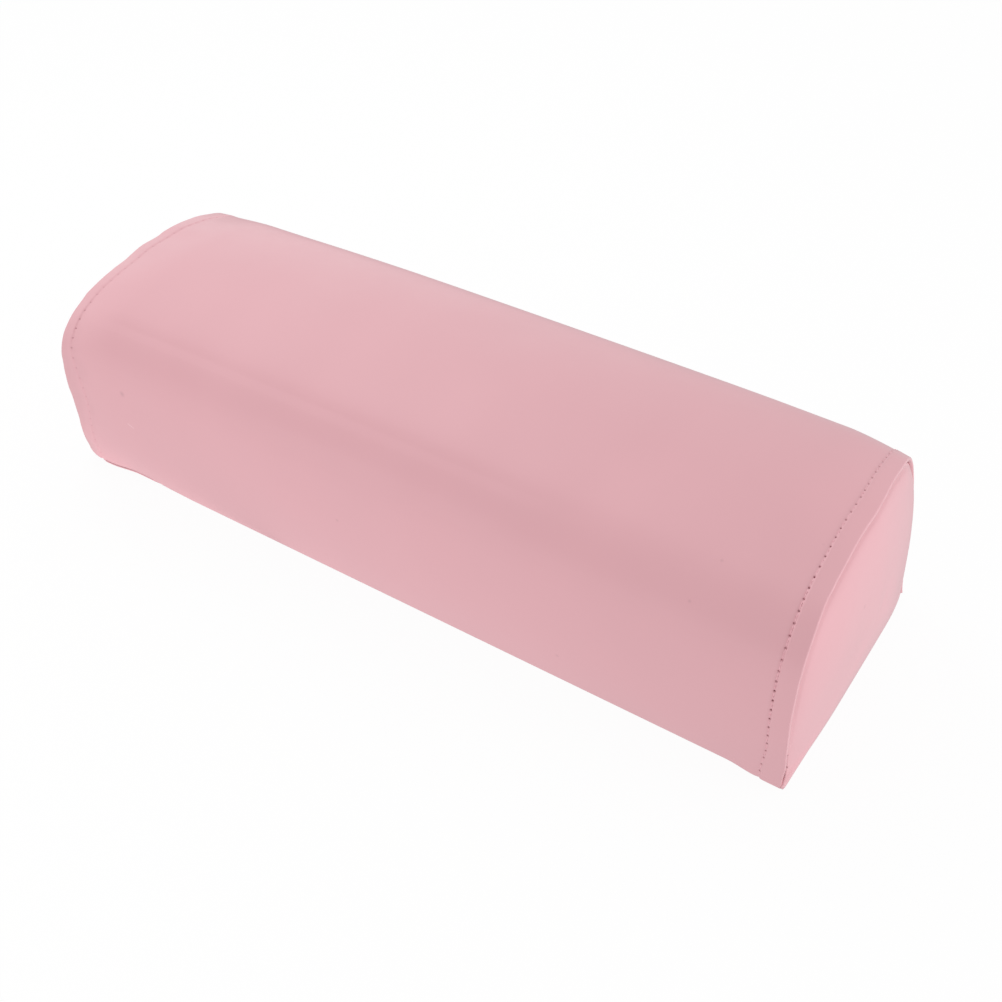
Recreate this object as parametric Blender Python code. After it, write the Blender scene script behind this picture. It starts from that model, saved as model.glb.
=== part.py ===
"""Manicure hand rest: a sponge block in a sewn cover of four leathercloth panels.

X runs along the cushion, the front wall faces -Y, and the base lies on z = 0.
Every panel is drawn on one closed cross-section loop, set in from it by its own depth.
"""

import math
from collections import namedtuple

import bmesh
import bpy
from mathutils import Vector

# Cushion, in metres
SEAM_LENGTH = 0.300
BASE_WIDTH = 0.0975
SHOULDER_HEIGHT = 0.064
SHOULDER_OVERHANG = 0.003
WALL_BOW = 0.0034
CROWN_RISE = 0.0125
SHOULDER_BLEND = 0.016

# How the filling swells between the ends, and how the end seams draw it in
BELLY_RISE = 0.0009
END_PINCH = 0.0027
PINCH_LENGTH = 0.025
PINCH_EASE = 1.5
HEIGHT_EASE = 0.7
END_LEAN = 0.0035
LEAN_LENGTH = 0.060
END_BULGE = 0.0055
END_MIDDLE = 0.46
DOME_POWER = 2.4

# Cover material and its turned seams
SHEET_THICKNESS = 0.0012
HEM_WIDTH = 0.009
HEM_STEP = 0.0006
LIP_REACH = 0.0015
BAND_RISE = 0.0003
BAND_FADE_HEIGHT = 0.010
TURN_RADIUS = 0.0015
PIECE_GAP = 0.0003

# Topstitching
STITCH_INSET = 0.0065
STITCH_PITCH = 0.0040
THREAD_RADIUS = 0.0002
THREAD_WAVE = 0.00025
THREAD_END_HEIGHT = 0.004
GROOVE_DEPTH = 0.0006
GROOVE_HALF_WIDTH = 0.0011

# How finely the curves are drawn
WALL_LINE_STEPS = 24
CROWN_LINE_STEPS = 48
WALL_STEPS = 5
BLEND_STEPS = 6
CROWN_STEPS = 12
BASE_STEPS = 4
FOLD_STEPS = 4
STEPS_PER_STITCH = 3
SHARP_ANGLE = math.radians(40)
PINCH_STATIONS = (1.0, 0.7, 0.45)
BODY_STATIONS = (0.30, 0.65, 1.0)
DOME_RINGS = (0.35, 0.65, 0.88)

# One spot of the cross-section: (y, z), its inward normal and the layers of cover there
Spot = namedtuple("Spot", "point normal layers")

HALF_LENGTH = SEAM_LENGTH / 2
HALF_BASE = BASE_WIDTH / 2
CROWN_HEIGHT = SHOULDER_HEIGHT + CROWN_RISE
HEM_THICKNESS = 2 * SHEET_THICKNESS
FLANGE_DEPTH = HEM_THICKNESS + PIECE_GAP
WALL_FOOT = HEM_THICKNESS + PIECE_GAP


def clear_scene():
    """Takes out what the startup scene holds."""
    for old in list(bpy.data.objects):
        bpy.data.objects.remove(old, do_unlink=True)


def bowed(start, end, bow, steps):
    """Points from start to end, bowed to the left of that direction by bow at mid-way."""
    along = end - start
    left = Vector((-along.y, along.x)).normalized()
    shares = [step / steps for step in range(steps + 1)]
    return [start + along * t + left * (bow * 4 * t * (1 - t)) for t in shares]


def length_of(points):
    """The length of the line through the points."""
    return sum((b - a).length for a, b in zip(points, points[1:]))


def point_along(points, distance):
    """The point that lies this far along the line."""
    for a, b in zip(points, points[1:]):
        step = (b - a).length
        if distance <= step:
            return a.lerp(b, distance / step)
        distance -= step
    return points[-1]


def resampled(points, start, end, steps):
    """Even points on the line, from one distance along it to another."""
    return [point_along(points, start + (end - start) * step / steps) for step in range(steps + 1)]


def arch_points():
    """The outline (y, z) from the front foot of the wall, over the top, to the back foot."""
    foot = Vector((-HALF_BASE, 0.0))
    shoulder = Vector((-HALF_BASE - SHOULDER_OVERHANG, SHOULDER_HEIGHT))
    far_shoulder = Vector((-shoulder.x, shoulder.y))
    wall = bowed(foot, shoulder, WALL_BOW, WALL_LINE_STEPS)
    crown = bowed(shoulder, far_shoulder, CROWN_RISE, CROWN_LINE_STEPS)
    wall_end = length_of(wall) - SHOULDER_BLEND
    crown_mid = length_of(crown) / 2
    blend_start = point_along(wall, wall_end)
    blend_end = point_along(crown, SHOULDER_BLEND)
    front = [point_along(wall, WALL_FOOT), point_along(wall, HEM_WIDTH)]
    front += resampled(wall, HEM_WIDTH + HEM_STEP, wall_end, WALL_STEPS)
    for step in range(1, BLEND_STEPS):
        t = step / BLEND_STEPS
        front.append(blend_start.lerp(shoulder, t).lerp(shoulder.lerp(blend_end, t), t))
    front += resampled(crown, SHOULDER_BLEND, crown_mid, CROWN_STEPS // 2)
    back = [Vector((-p.x, p.y)) for p in reversed(front[:-1])]
    return front + back


def arch_spots():
    """The arch with its normals, level at both feet, and its lower edges turned in."""
    points = arch_points()
    last = len(points) - 1
    spots = []
    for index, point in enumerate(points):
        along = points[min(index + 1, last)] - points[max(index - 1, 0)]
        normal = Vector((along.y, -along.x)).normalized()
        hemmed = index < 2 or index > last - 2
        spots.append(Spot(point, normal, 2 if hemmed else 1))
    spots[0] = Spot(points[0], INWARD, 2)
    spots[-1] = Spot(points[-1], -INWARD, 2)
    return spots


def mitre(first, second):
    """The offset that sets a corner in by one unit from both of its sides."""
    return (first + second) / (1 + first.dot(second))


def base_line():
    """The base from its back corner to its front one, without the corners."""
    hem_y = HALF_BASE - HEM_WIDTH
    free_y = hem_y - HEM_STEP
    free = [free_y - 2 * free_y * step / BASE_STEPS for step in range(BASE_STEPS + 1)]
    spots = [Spot(Vector((hem_y, 0.0)), UP, 2)]
    spots += [Spot(Vector((y, 0.0)), UP, 1) for y in free]
    spots.append(Spot(Vector((-hem_y, 0.0)), UP, 2))
    return spots


def closed_loop():
    """The whole section: the walls and crown, then the base from back to front."""
    back_corner = Spot(Vector((HALF_BASE, 0.0)), mitre(-INWARD, UP), 2)
    front_corner = Spot(Vector((-HALF_BASE, 0.0)), mitre(INWARD, UP), 2)
    return ARCH[1:-1] + [back_corner] + base_line() + [front_corner]


UP = Vector((0.0, 1.0))
INWARD = Vector((1.0, 0.0))
ARCH = arch_spots()
LOOP = closed_loop()


def share_left(reach, length):
    """1 at the end seam, falling to 0 where reach passes length."""
    return max(0.0, 1 - reach / length)


def place(spot, x, depth):
    """The point of the cushion at x and this deep in, with the swell and the drawn-in ends."""
    reach = HALF_LENGTH - abs(x)
    height_share = spot.point.y / CROWN_HEIGHT
    pinch = END_PINCH * share_left(reach, PINCH_LENGTH) ** PINCH_EASE
    belly = BELLY_RISE * (1 - (1 - reach / HALF_LENGTH) ** 2)
    inset = depth + height_share**HEIGHT_EASE * (pinch - belly)
    lean = END_LEAN * height_share * share_left(reach, LEAN_LENGTH)
    section = spot.point + spot.normal * inset
    return Vector((x - math.copysign(lean, x), section.x, section.y))


def body_stations():
    """Distances in from an end seam, from the middle of the cushion to the start of the hem."""
    free = HALF_LENGTH - PINCH_LENGTH
    body = [PINCH_LENGTH + free * share for share in reversed(BODY_STATIONS)]
    return body + [PINCH_LENGTH * share for share in PINCH_STATIONS]


def band_height(spot):
    """How far the doubled band stands proud there: all of it on the walls, none at the base."""
    return BAND_RISE * min(1.0, spot.point.y / BAND_FADE_HEIGHT)


def fold_points(rise):
    """(reach, depth) round the folded edge of a hem, from its outer to its inner face."""
    turns = [math.pi * step / FOLD_STEPS for step in range(FOLD_STEPS + 1)]
    radius = SHEET_THICKNESS
    return [(radius - radius * math.sin(a), radius - rise - radius * math.cos(a)) for a in turns]


def wrap_half_profile(spot):
    """(reach, depth) of the wrap from mid-length out to the fold and back inside."""
    rise = band_height(spot)
    inner_depth = spot.layers * SHEET_THICKNESS
    outer = [(reach, 0.0) for reach in body_stations()]
    groove = [
        (STITCH_INSET + GROOVE_HALF_WIDTH, 0.0),
        (STITCH_INSET, GROOVE_DEPTH),
        (STITCH_INSET - GROOVE_HALF_WIDTH, -rise),
    ]
    hem = [(HEM_WIDTH, HEM_THICKNESS), (HEM_WIDTH + HEM_STEP, inner_depth)]
    inner = [(reach, inner_depth) for reach in reversed(body_stations())]
    return outer + groove + fold_points(rise) + hem + inner


def base_profile():
    """(reach, height) of the base sheet's edge, from its underside round the fold to its top."""
    hem = [(HEM_WIDTH, HEM_THICKNESS), (HEM_WIDTH + HEM_STEP, SHEET_THICKNESS)]
    return [(HEM_WIDTH, 0.0)] + fold_points(0.0) + hem


def full_profile(half):
    """The closed profile (x, depth): the right-hand half, then its mirror image."""
    right = [(HALF_LENGTH - reach, depth) for reach, depth in half]
    left = [(-x, depth) for x, depth in reversed(right[1:-1])]
    return right + left


def new_object(name, bm, material):
    """Turns a bmesh into a named object with outward faces and smooth rounds."""
    bmesh.ops.recalc_face_normals(bm, faces=bm.faces)
    mesh = bpy.data.meshes.new(name)
    bm.to_mesh(mesh)
    bm.free()
    mesh.materials.append(material)
    mesh.shade_smooth()
    mesh.set_sharp_from_angle(angle=SHARP_ANGLE)
    obj = bpy.data.objects.new(name, mesh)
    bpy.context.scene.collection.objects.link(obj)
    return obj


def bridge(bm, first, second):
    """Faces between two closed rings of as many points."""
    count = len(first)
    for k in range(count):
        after = (k + 1) % count
        bm.faces.new((first[k], first[after], second[after], second[k]))


def fan(bm, centre, ring):
    """Triangles from a centre point to a closed ring."""
    count = len(ring)
    for k in range(count):
        bm.faces.new((centre, ring[k], ring[(k + 1) % count]))


def surface_material(name, colour, roughness):
    """A plain Principled finish, from an sRGB hex colour."""
    channels = [int(colour[i : i + 2], 16) / 255 for i in (0, 2, 4)]
    linear = [c / 12.92 if c <= 0.04045 else ((c + 0.055) / 1.055) ** 2.4 for c in channels]
    material = bpy.data.materials.new(name)
    material.use_nodes = True
    shader = material.node_tree.nodes["Principled BSDF"]
    shader.inputs["Base Color"].default_value = (*linear, 1.0)
    shader.inputs["Roughness"].default_value = roughness
    shader.inputs["Metallic"].default_value = 0.0
    material.diffuse_color = (*linear, 1.0)
    return material


def top_cover_panel(material):
    """One sheet over the front, top and back, hemmed at its ends and lower edges."""
    bm = bmesh.new()
    rings = []
    for spot in ARCH:
        profile = full_profile(wrap_half_profile(spot))
        rings.append([bm.verts.new(place(spot, x, depth)) for x, depth in profile])
    for first, second in zip(rings, rings[1:]):
        bridge(bm, first, second)
    bm.faces.new(rings[0])
    bm.faces.new(rings[-1])
    return new_object("top_cover_panel", bm, material)


def base_panel(material):
    """The flat sheet that the cushion stands on, with its edge turned in all round."""
    bm = bmesh.new()
    rings = []
    for reach, z in base_profile():
        x, y = HALF_LENGTH - reach, HALF_BASE - reach
        corners = ((-x, -y, z), (x, -y, z), (x, y, z), (-x, y, z))
        rings.append([bm.verts.new(corner) for corner in corners])
    for first, second in zip(rings, rings[1:]):
        bridge(bm, first, second)
    bm.faces.new(rings[0])
    bm.faces.new(rings[-1])
    return new_object("base_panel", bm, material)


def ring_at(x, depth_of):
    """A closed ring of points at x, each set in by the depth for its layers of cover."""
    return [place(spot, x, depth_of(spot.layers)) for spot in LOOP]


def end_middle(side, face_x):
    """The point at the middle of an end face, before its bulge."""
    height = CROWN_HEIGHT * END_MIDDLE
    lean = END_LEAN * END_MIDDLE
    return Vector((side * (face_x - lean), 0.0, height))


def dome_top(side, face_x):
    """The point where an end face stands out furthest."""
    return end_middle(side, face_x) + Vector((side * END_BULGE, 0.0, 0.0))


def dome_ring(rim, side, share, face_x):
    """A ring drawn in towards the middle of an end, standing out by its part of the bulge."""
    middle = end_middle(side, face_x)
    out = Vector((side * END_BULGE * (1 - share**DOME_POWER), 0.0, 0.0))
    return [middle.lerp(point, share) + out for point in rim]


def end_panel(name, side, material):
    """A bulged sheet whose edge turns in under the hems as a seam allowance."""
    bm = bmesh.new()
    face_x = HALF_LENGTH - LIP_REACH
    inner_x = face_x - SHEET_THICKNESS
    flange_end = HALF_LENGTH - HEM_WIDTH
    skin_depth = FLANGE_DEPTH + SHEET_THICKNESS
    turn_depth = FLANGE_DEPTH + TURN_RADIUS
    turn_x = face_x - TURN_RADIUS
    corner = TURN_RADIUS * (1 - math.sin(math.pi / 4))

    def ring_verts(points):
        return [bm.verts.new(point) for point in points]

    def level_ring(x, depth):
        return ring_at(side * x, lambda layers: depth)

    outer_rim = level_ring(face_x, turn_depth)
    inner_rim = level_ring(inner_x, turn_depth)
    outer = [dome_ring(outer_rim, side, share, face_x) for share in DOME_RINGS]
    inner = [dome_ring(inner_rim, side, share, inner_x) for share in DOME_RINGS]
    turned = [
        outer_rim,
        level_ring(face_x - corner, FLANGE_DEPTH + corner),
        level_ring(turn_x, FLANGE_DEPTH),
        level_ring(flange_end, FLANGE_DEPTH),
        level_ring(flange_end, skin_depth),
        level_ring(turn_x, skin_depth),
        inner_rim,
    ]
    rings = [ring_verts(points) for points in outer + turned + inner[::-1]]
    for first, second in zip(rings, rings[1:]):
        bridge(bm, first, second)
    fan(bm, bm.verts.new(dome_top(side, face_x)), rings[0])
    fan(bm, bm.verts.new(dome_top(side, inner_x)), rings[-1])
    return new_object(name, bm, material)


def foam_core(material):
    """The sponge block, pressed in under the hems and the end panels' allowances."""
    bm = bmesh.new()
    face_x = HALF_LENGTH - LIP_REACH - SHEET_THICKNESS - PIECE_GAP
    step_x = HALF_LENGTH - HEM_WIDTH - 2 * PIECE_GAP
    free_x = step_x - HEM_STEP

    def free_depth(layers):
        return layers * SHEET_THICKNESS + PIECE_GAP

    def end_depth(layers):
        return FLANGE_DEPTH + SHEET_THICKNESS + PIECE_GAP

    body = [HALF_LENGTH - reach for reach in body_stations()]
    ladder = [(x, free_depth) for x in body if x < free_x]
    ladder += [(free_x, free_depth), (step_x, end_depth), (face_x, end_depth)]
    right = [ring_at(x, depth_of) for x, depth_of in ladder]
    left = [ring_at(-x, depth_of) for x, depth_of in reversed(ladder[1:])]
    dome_right = [dome_ring(right[-1], 1, share, face_x) for share in reversed(DOME_RINGS)]
    dome_left = [dome_ring(left[0], -1, share, face_x) for share in DOME_RINGS]
    rings = [
        [bm.verts.new(point) for point in ring]
        for ring in dome_left + left + right + dome_right
    ]
    for first, second in zip(rings, rings[1:]):
        bridge(bm, first, second)
    fan(bm, bm.verts.new(dome_top(-1, face_x)), rings[0])
    fan(bm, bm.verts.new(dome_top(1, face_x)), rings[-1])
    return new_object("foam_core", bm, material)


def arch_at(distance):
    """The spot of the outline this far along the arch."""
    for first, second in zip(ARCH, ARCH[1:]):
        step = (second.point - first.point).length
        if distance <= step:
            share = distance / step
            normal = first.normal.lerp(second.normal, share).normalized()
            return Spot(first.point.lerp(second.point, share), normal, 1)
        distance -= step
    return ARCH[-1]


def thread_route(side):
    """The topstitch's path in its groove: low at each needle hole, raised between holes."""
    run = length_of([spot.point for spot in ARCH]) - 2 * THREAD_END_HEIGHT
    stitches = round(run / STITCH_PITCH)
    seat = GROOVE_DEPTH - PIECE_GAP - THREAD_RADIUS
    steps = stitches * STEPS_PER_STITCH
    route = []
    for index in range(steps + 1):
        spot = arch_at(THREAD_END_HEIGHT + run * index / steps)
        at_hole = index % STEPS_PER_STITCH == 0
        depth = seat if at_hole else seat - THREAD_WAVE
        route.append(place(spot, side * (HALF_LENGTH - STITCH_INSET), depth))
    return route


def topstitch_thread(name, side, material):
    """One row of sewing thread, as a thin tube along its route."""
    route = thread_route(side)
    curve = bpy.data.curves.new(name, "CURVE")
    curve.dimensions = "3D"
    curve.bevel_depth = THREAD_RADIUS
    curve.bevel_resolution = 0
    curve.use_fill_caps = True
    spline = curve.splines.new("POLY")
    spline.points.add(len(route) - 1)
    for spot, point in zip(spline.points, route):
        spot.co = (*point, 1.0)
    curve.materials.append(material)
    obj = bpy.data.objects.new(name, curve)
    bpy.context.scene.collection.objects.link(obj)
    return obj


def build():
    """Makes every piece of the hand rest."""
    clear_scene()
    leathercloth = surface_material("pink leathercloth", "E6B0B9", 0.5)
    sponge = surface_material("off-white sponge", "EDE6D6", 0.95)
    thread = surface_material("pink polyester thread", "D99AA8", 0.6)
    foam_core(sponge)
    top_cover_panel(leathercloth)
    base_panel(leathercloth)
    for label, side in (("left", -1), ("right", 1)):
        end_panel(f"{label}_end_panel", side, leathercloth)
        topstitch_thread(f"{label}_topstitch_thread", side, thread)


build()
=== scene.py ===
"""Manicure hand rest: a sponge block in a sewn leathercloth cover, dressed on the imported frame.

X runs along the cushion, the front wall faces -Y, and the base lies on z = 0. All sizes are metres.
"""

import math

import bpy
import numpy as np
from mathutils import Matrix, Vector


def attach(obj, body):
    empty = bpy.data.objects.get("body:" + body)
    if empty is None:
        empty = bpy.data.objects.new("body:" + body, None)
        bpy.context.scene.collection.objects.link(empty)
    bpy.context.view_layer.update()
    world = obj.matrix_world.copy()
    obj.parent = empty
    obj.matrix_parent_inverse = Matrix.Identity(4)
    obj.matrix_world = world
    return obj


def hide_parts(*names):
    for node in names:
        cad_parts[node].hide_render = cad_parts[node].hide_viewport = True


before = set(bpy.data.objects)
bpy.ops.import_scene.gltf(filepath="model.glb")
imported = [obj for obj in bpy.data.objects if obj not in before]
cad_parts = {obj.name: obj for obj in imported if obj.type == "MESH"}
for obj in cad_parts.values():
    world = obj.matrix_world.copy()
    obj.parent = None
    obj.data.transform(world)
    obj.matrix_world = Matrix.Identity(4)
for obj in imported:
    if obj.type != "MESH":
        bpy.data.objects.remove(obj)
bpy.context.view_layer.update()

# The cushion's main sizes, the same as in the solids
SEAM_LENGTH = 0.300
BASE_WIDTH = 0.0975
SHOULDER_HEIGHT = 0.064
SHOULDER_OVERHANG = 0.003
WALL_BOW = 0.0034
CROWN_RISE = 0.0125
SHOULDER_BLEND = 0.016
HALF_LENGTH = SEAM_LENGTH / 2
HALF_BASE = BASE_WIDTH / 2
CROWN_HEIGHT = SHOULDER_HEIGHT + CROWN_RISE

# How finely that section is drawn
WALL_LINE_STEPS = 120
CROWN_LINE_STEPS = 240
RUN_POINTS = 80
BLEND_POINTS = 30
SECTION_POINTS = 961
SECTION_EASING = 8

# How the sponge swells between the ends, and how each end seam draws it in
BELLY_RISE = 0.0009
END_PINCH = 0.0027
PINCH_LENGTH = 0.025
PINCH_EASE = 1.5
HEIGHT_EASE = 0.7
LEAN_LENGTH = 0.060
LEAN_BY_HEIGHT = 0.0065
LEAN_EASING = 0.0029
LEFT_LEAN = -0.0010
LEFT_LEAN_BACKWARD = -0.0005
RIGHT_LEAN = 0.0012
RIGHT_LEAN_BACKWARD = 0.0023
CROWN_SHIFT = 0.0012
BACK_FULLNESS = 0.0006

# How the doubled hems stand out and ride up at the feet of the walls
LEFT_CORNER_LIFT = 0.0036
BACK_CORNER_LIFT = 0.0020
CORNER_LENGTH = 0.0085
CORNER_EASE = 1.5
LEFT_FOOT_LIFT = 0.0013
HEM_GAP_START = 0.006
HEM_GAP_LENGTH = 0.048
HEM_GAP_FADE = 0.016
LEFT_FLARE = 0.0017
LEFT_FLARE_AT_SEAM = 0.2
LEFT_FLARE_START = 0.007
LEFT_FLARE_LENGTH = 0.027
LEFT_FLARE_FADE = 0.015
RIGHT_FLARE = 0.0010
RIGHT_FLARE_LENGTH = 0.020
RIGHT_FLARE_FADE = 0.010
BACK_FLARE = 0.0008
FLARE_HEIGHT = 0.006

# The closed outline of an end, which the end panels and the sponge share
LOOP_ARCH_POINTS = 481
LOOP_BASE_POINTS = 200
LOOP_EASING = 2
CORNER_BLEND = 0.003
PANEL_POINTS = 480
SPONGE_POINTS = 160

# The bulged end panels
END_BULGE = 0.0060
END_MIDDLE = 0.46
DOME_POWER = 2.6
DOME_FULLNESS = 0.6
FULL_BELOW = 0.040
DOME_SHARES = (0.06, *np.linspace(0.14, 0.90, 15), 0.93, 0.955, 0.975, 0.99)
INNER_SHARES = (0.985, 0.95, 0.9, 0.8, 0.6, 0.35)
DOME_SETBACK = 0.0016
DOME_FORWARD = 0.0004
RIM_EASING = 16
BULGE_EASING = 8
TURN_DEGREES = (22, 45, 68, 90)
SEAM_GAP = 0.0010
SEAM_GAP_HEIGHT = 0.006
SEAM_GAP_SPREAD = 0.014
LEFT_GAP_SHARE = 0.2
BASE_EDGE_SHARE = 0.4
CORNER_FOLD = 0.0009
CORNER_FOLD_SPREAD = 0.0032
BASE_FLANGE = 0.0045

# Each end as it was sewn: (degrees round the section from the front foot, spread, out, up) in mm
LEFT_END_SHAPE = (
    (14, 8, -0.8, 0.0),
    (32, 6, 0.6, 0.0),
    (58, 13, -0.9, 0.0),
    (73, 7, -0.3, -0.8),
    (122, 20, 0.0, 1.6),
)
RIGHT_END_SHAPE = (
    (36, 10, 0.3, 0.0),
    (52, 11, -0.3, 0.0),
    (95, 14, 0.9, 0.0),
    (141, 11, -1.1, 0.1),
)
SHAPE_LENGTH = 0.030

# The cover material and its turned seams
SHEET = 0.0007
HEM_WIDTH = 0.009
HEM_STEP = 0.0012
FOLD_RADIUS = 0.00042
FOLD_DEGREES = (18, 36, 54, 72, 86)
FOOT_DEGREES = (4, 20, 36, 52, 68, 90)
LIP_REACH = 0.0006
TURN_RADIUS = 0.0010
BAND_RISE = 0.0003
BAND_STEP = 0.0008
PIECE_GAP = 0.0002
LEAST_SHEET = 0.0001
# How strongly the painted highlight paints the edge of each fold paler
FOLD_EDGE_HIGHLIGHT = 0.2
FLANGE_DEPTH = 2 * SHEET + PIECE_GAP

# How a sewn edge wavers: (wave length in metres, phase, share) of each part
LIP_WAVES = ((0.0145, 0.9, 0.6), (0.0230, 2.1, 0.9), (0.0410, 4.4, 1.0))
LEFT_WAVE = 0.00022
RIGHT_WAVE = 0.00006
WAVE_REACH = 0.02
SWELL_SHARE = 0.8
LEFT_RETREAT = 0.0006
RIGHT_RETREAT = 0.0012
RETREAT_HEIGHT = 0.008

# Topstitching
STITCH_INSET = 0.0065
STITCH_PITCH = 0.0040
STITCH_SHARE = 0.90
THREAD_RADIUS = 0.00024
THREAD_DIP = 0.00045
THREAD_RISE = 0.00085
LEFT_THREAD_SEAT = 0.00034
RIGHT_THREAD_SEAT = 0.00022
ROWS_PER_STITCH = (0.0, 0.04, 0.08, 0.18, 0.5, 0.82, 0.92, 0.96)
GROOVE_DEPTH = 0.00028
GROOVE_SPREAD = 0.00055
PUCKER_DEPTH = 0.00005
PUCKER_SPREAD = 0.0016
HOLE_DEPTH = 0.0007
HOLE_RADIUS = 0.00028
# How plainly the needle holes of each row show: (least, more, where along the arch, spread)
LEFT_HOLES = (0.16, 0.24, 0.063, 0.012)
RIGHT_HOLES = (0.45, 0.55, 0.052, 0.030)
# How the left row wanders down the front wall: (further in, at this height, spread)
LEFT_ROW_WANDER = (
    (0.0042, 0.035, 0.014),
    (0.0016, 0.0, 0.014),
    (-0.0009, 0.058, 0.008),
)
LEFT_ROW_OUTWARD = 0.0006
RIGHT_ROW_INWARD = 0.0021
ROW_EASE_LENGTH = 0.030
CLOSING_SEAM_INSET = 0.0030
CLOSING_HOLES = (0.0155, 0.0080, 0.0012)

# The cover's columns over its body, beside its stitch row and on its band: (from, to, how many)
BODY_COLUMNS = ((HALF_LENGTH, 0.042, 9), (0.034, 0.0095, 11))
STITCH_COLUMNS = ((0.0022, 0.001, 5), (0.00064, -0.00064, 9))
BAND_COLUMNS = (STITCH_INSET - 0.001, FOLD_RADIUS + 0.0003, 4)

# The crease along the front shoulder: how far along the arch, and from where to where in x
CREASE_DEPTH = 0.00032
CREASE_PLACE = 0.0709
CREASE_SPREAD = 0.0021
CREASE_START = -0.142
CREASE_START_FADE = 0.03
CREASE_END = 0.085
CREASE_END_FADE = 0.06

# The flat base sheet
BASE_POINTS = 400
BASE_GAP_X = 0.0004
BASE_CORNER = 0.006
BASE_FLUSH_OUT = 0.0012

# The sponge, a little smaller than the cover
SPONGE_GAP = 0.0006
SPONGE_WALL_GAP = 0.0020
SPONGE_END_GAP = 0.0030
SPONGE_STATIONS = np.linspace(-0.135, 0.135, 19)
SPONGE_SHARES = (0.3, 0.6, 0.85)

# Specks on the skin: (x, y, z, radius) in mm and how dark each is
WRAP_SPECKS = (
    (-115.2, -54.2, 45.5, 1.5, 0.20),
    (115.5, -39.3, 69.6, 0.7, 0.13),
    (111.7, -50.1, 60.2, 0.7, 0.15),
    (138.2, -21.2, 73.7, 0.8, 0.10),
    (-16.7, -54.1, 31.9, 0.8, 0.16),
    (70.0, -52.0, 14.4, 0.9, 0.14),
)
END_SPECKS = ((152.9, -15.0, 51.0, 1.2, 0.25),)
# A short light scuff on the front wall, as a run of spots
SCUFF = (
    (-115.8, -54.0, 31.5, 0.5, 0.35),
    (-115.1, -54.0, 31.2, 0.5, 0.45),
    (-114.4, -54.0, 30.9, 0.5, 0.45),
    (-113.7, -54.0, 30.6, 0.5, 0.35),
)

# The studio
WHITE = (1.0, 1.0, 1.0, 1.0)
TENT_OPENING = (0.25, -0.85, 0.20)
TENT_LEFT = (-1.0, 0.0, 0.0)
FLOOR_HALF_WIDTH = 3.0
FLOOR_HEIGHT = -0.0001
# How much of the floor glows plain white where the camera sees it
SEEN_GLOW = 0.94
# Each softbox: (name, place, aim, size, power)
SOFTBOXES = (
    ("back_left_softbox", (-0.30, 0.15, 0.50), (-0.10, 0.0, 0.05), (0.3, 0.3), 0.46),
    ("front_left_softbox", (-0.30, -0.55, 0.11), (-0.06, 0.0, 0.02), (0.2, 0.2), 0.65),
    ("right_softbox", (0.95, 0.12, 0.07), (0.14, 0.0, 0.03), (0.5, 0.12), 2.5),
)

# The camera: radians and metres, with how far the cushion lies off the picture's middle
CAMERA_AZIMUTH = 0.58229
CAMERA_ELEVATION = 0.70539
CAMERA_DISTANCE = 0.48967
CAMERA_ASIDE = -0.011871
CAMERA_BELOW = -0.007476
CAMERA_LENS = 46.79


# Section of the cushion


def bowed(start, end, bow, steps):
    """Points from start to end, bowed to the left of that direction by bow at mid-way."""
    share = np.linspace(0, 1, steps + 1)[:, None]
    along = end - start
    left = np.array([-along[1], along[0]]) / np.linalg.norm(along)
    return start + along * share + left * (bow * 4) * share * (1 - share)


def run_of(line):
    """The distance along a line to each of its points."""
    steps = np.linalg.norm(np.diff(line, axis=0), axis=1)
    return np.concatenate([[0.0], np.cumsum(steps)])


def point_at(line, distance):
    """Points at these distances along a line."""
    run = run_of(line)
    return np.stack([np.interp(distance, run, line[:, k]) for k in range(line.shape[1])], -1)


def soft_average(spread):
    """(reach, weights) of an average over the points within this spread."""
    reach = 3 * spread
    weights = np.exp(-0.5 * (np.arange(-reach, reach + 1) / spread) ** 2)
    return reach, weights / weights.sum()


def softened(line, spread):
    """A closely spaced line with its bends eased over about this many points."""
    reach, weights = soft_average(spread)
    before = 2 * line[0] - line[reach:0:-1]
    after = 2 * line[-1] - line[-2 : -reach - 2 : -1]
    padded = np.vstack([before, line, after])
    return np.column_stack([np.convolve(padded[:, k], weights, "valid") for k in range(2)])


def section_line():
    """The outline (y, z) from the front foot of the wall, over the top, to the back foot."""
    foot = np.array([-HALF_BASE, 0.0])
    shoulder = np.array([-HALF_BASE - SHOULDER_OVERHANG, SHOULDER_HEIGHT])
    mirror = np.array([-1.0, 1.0])
    wall = bowed(foot, shoulder, WALL_BOW, WALL_LINE_STEPS)
    crown = bowed(shoulder, shoulder * mirror, CROWN_RISE, CROWN_LINE_STEPS)
    wall_end = run_of(wall)[-1] - SHOULDER_BLEND
    crown_middle = run_of(crown)[-1] / 2
    blend_start = point_at(wall, wall_end)
    blend_end = point_at(crown, SHOULDER_BLEND)
    share = np.linspace(0, 1, BLEND_POINTS)[1:-1, None]
    blend = (1 - share) ** 2 * blend_start + 2 * share * (1 - share) * shoulder + share**2 * blend_end
    front = np.vstack(
        [
            point_at(wall, np.linspace(0, wall_end, RUN_POINTS)),
            blend,
            point_at(crown, np.linspace(SHOULDER_BLEND, crown_middle, RUN_POINTS)),
        ]
    )
    whole = np.vstack([front, front[-2::-1] * mirror])
    even = point_at(whole, np.linspace(0, run_of(whole)[-1], SECTION_POINTS))
    return softened(even, SECTION_EASING)


SECTION = section_line()
ARCH_LENGTH = run_of(SECTION)[-1]


def normals_of(line, closed=False):
    """The inward normal at each point of a line that runs clockwise seen from +X."""
    if closed:
        along = np.roll(line, -1, axis=0) - np.roll(line, 1, axis=0)
    else:
        along = np.gradient(line, axis=0)
    along /= np.linalg.norm(along, axis=1)[:, None]
    return np.column_stack([along[:, 1], -along[:, 0]])


SECTION_NORMALS = normals_of(SECTION)


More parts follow.
